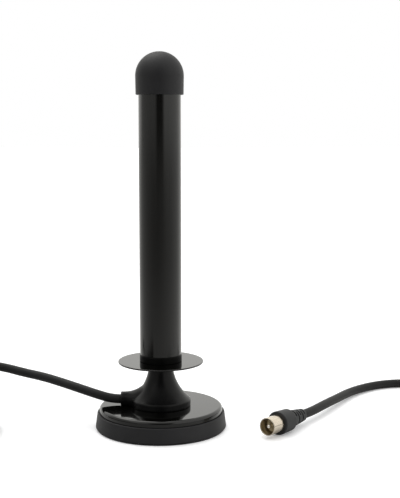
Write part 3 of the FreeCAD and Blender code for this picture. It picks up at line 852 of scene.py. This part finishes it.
tie_middle = (tie_low.x + tie_high.x) / 2
outside = strap_loop(0.0, strap_sheet)
inside = strap_loop(strap_sheet, 0.0)
tie_points = []
for side in (tie_low.y, tie_high.y):
    for loop in (outside, inside):
        tie_points += [(tie_middle + x, side, z) for x, z in loop]
around = len(outside)
tie_faces = []
for k in range(around):
    after = (k + 1) % around
    for first, second in ((0, 1), (1, 3), (3, 2), (2, 0)):
        tie_faces.append((
            first * around + k, first * around + after,
            second * around + after, second * around + k,
        ))
tie_mesh = bpy.data.meshes.new("hank_strap")
tie_mesh.from_pydata(tie_points, [], tie_faces)
tie_mesh.shade_smooth()
hank_strap = add_piece("hank_strap", tie_mesh, woven_strap(), "cable_tie")

# Studio: a plain white floor under soft light from behind and both sides, with a key high on the left
# and a small lamp at the front left. In reflections and bounced light the floor shows a painted
# reflection that shapes the gloss black: darker towards the front, lighter towards the back and right,
# and lighter still near the antenna. The lens sees the floor plain white.
HALF_FLOOR = 6.0
PURE_WHITE = (1.0, 1.0, 1.0, 1.0)
FLOOR_WHITE = (0.94, 0.945, 0.98, 1.0)
FLOOR_GLOW = 0.2
BRIGHT_BEARING = (0.3, 0.95, 0.0)
# Tones of the painted reflection, which the floor shows only to reflections and bounced light.
MIRRORED_DARK_TONE = 0.18
MIRRORED_BRIGHT_TONE = 0.8
MIRRORED_NEAR_LIFT = 0.22
NEAR_REACH = 0.2
FAR_REACH = 0.7


def vector_math(tree, operation, vector):
    """Node that works a vector over."""
    node = tree.nodes.new("ShaderNodeVectorMath")
    node.operation = operation
    tree.links.new(vector, node.inputs[0])
    return node


def show_apart(tree, seen, mirrored, end):
    """Show one shader to the camera and the other one in all reflections."""
    path = tree.nodes.new("ShaderNodeLightPath")
    choice = tree.nodes.new("ShaderNodeMixShader")
    tree.links.new(path.outputs["Is Camera Ray"], choice.inputs["Fac"])
    tree.links.new(mirrored, choice.inputs[1])
    tree.links.new(seen, choice.inputs[2])
    tree.links.new(choice.outputs["Shader"], end.inputs["Surface"])


floor_mesh = bpy.data.meshes.new("studio_floor")
floor_mesh.from_pydata(
    [(x * HALF_FLOOR, y * HALF_FLOOR, 0) for x, y in ((-1, -1), (1, -1), (1, 1), (-1, 1))],
    [], [(0, 1, 2, 3)],
)
floor = bpy.data.objects.new("studio_floor", floor_mesh)
bpy.context.scene.collection.objects.link(floor)
floor_paint, floor_tree, floor_seen = new_finish("floor_paint")
floor_seen.inputs["Base Color"].default_value = FLOOR_WHITE
floor_seen.inputs["Specular IOR Level"].default_value = 0.0
floor_seen.inputs["Emission Color"].default_value = PURE_WHITE
floor_seen.inputs["Emission Strength"].default_value = FLOOR_GLOW
floor_place = floor_tree.nodes.new("ShaderNodeTexCoord").outputs["Object"]
floor_bearing = vector_math(floor_tree, "NORMALIZE", floor_place)
floor_side = vector_math(floor_tree, "DOT_PRODUCT", floor_bearing.outputs["Vector"])
floor_side.inputs[1].default_value = BRIGHT_BEARING
# Painted reflection: the floor is darker towards the front, lighter towards the back, and lifted near
# the antenna.
painted_reflection_tone = spread(floor_tree, floor_side.outputs["Value"], -1.0, 1.0, MIRRORED_DARK_TONE, MIRRORED_BRIGHT_TONE)
floor_reach = vector_math(floor_tree, "LENGTH", floor_place)
painted_reflection_near = spread(floor_tree, floor_reach.outputs["Value"], NEAR_REACH, FAR_REACH, MIRRORED_NEAR_LIFT, 0.0)
painted_reflection_sum = floor_tree.nodes.new("ShaderNodeMath")
painted_reflection_sum.operation = "ADD"
floor_tree.links.new(painted_reflection_tone.outputs["Result"], painted_reflection_sum.inputs[0])
floor_tree.links.new(painted_reflection_near.outputs["Result"], painted_reflection_sum.inputs[1])
floor_mirrored = floor_tree.nodes.new("ShaderNodeBsdfDiffuse")
floor_tree.links.new(painted_reflection_sum.outputs["Value"], floor_mirrored.inputs["Color"])
show_apart(
    floor_tree, floor_seen.outputs["BSDF"], floor_mirrored.outputs["BSDF"],
    floor_tree.nodes["Material Output"],
)
floor_mesh.materials.append(floor_paint)

world = bpy.data.worlds.new("studio_light")
bpy.context.scene.world = world
world.use_nodes = True
light_tree = world.node_tree
room = light_tree.nodes["Background"]
direction = light_tree.nodes.new("ShaderNodeTexCoord").outputs["Generated"]
ROOM_TINT = (1.0, 0.995, 0.96, 1.0)
DIM_SIDE = 0.04
PANELS = (
    ((-1, 0, 0), 0.1, 0.45, 0.6),
    ((1, 0, 0), 0.25, 0.5, 1.1),
    ((0, 1, 0), 0.1, 0.5, 1.15),
    ((0, 0, 1), 0.45, 0.8, 1.1),
    ((-0.25, 0.35, 0.9), 0.86, 0.97, 3.2),
    ((-0.55, -0.5, 0.67), 0.93, 0.97, 1.2),
)


def panel(aim, start, full, level):
    """Soft panel of light round an aim, that comes up between two cosines of the angle from it."""
    facing = vector_math(light_tree, "DOT_PRODUCT", direction)
    facing.inputs[1].default_value = Vector(aim).normalized()
    edge = spread(light_tree, facing.outputs["Value"], start, full, 0.0, level)
    edge.interpolation_type = "SMOOTHSTEP"
    return edge.outputs["Result"]


brightest = None
for aim, start, full, level in PANELS:
    larger = light_tree.nodes.new("ShaderNodeMath")
    larger.operation = "MAXIMUM"
    larger.inputs[0].default_value = DIM_SIDE
    if brightest is not None:
        light_tree.links.new(brightest, larger.inputs[0])
    light_tree.links.new(panel(aim, start, full, level), larger.inputs[1])
    brightest = larger.outputs["Value"]
light_tree.links.new(brightest, room.inputs["Strength"])
room.inputs["Color"].default_value = ROOM_TINT
plain = light_tree.nodes.new("ShaderNodeBackground")
plain.inputs["Color"].default_value = PURE_WHITE
show_apart(
    light_tree, plain.outputs["Background"], room.outputs["Background"],
    light_tree.nodes["World Output"],
)
bpy.context.scene.view_settings.view_transform = "Standard"

# Camera: a short telephoto about half a metre in front of the antenna and a little lower than its top,
# looking slightly down.
CAMERA_PITCH = 0.122
camera_data = bpy.data.cameras.new("camera")
camera_data.lens = 75.18
camera_data.sensor_width = 36.0
camera = bpy.data.objects.new("camera", camera_data)
camera.location = (0.021205, -0.55152, 0.165127)
camera.rotation_euler = (math.pi / 2 - CAMERA_PITCH, 0.0, 0.0)
bpy.context.scene.collection.objects.link(camera)
bpy.context.scene.camera = camera
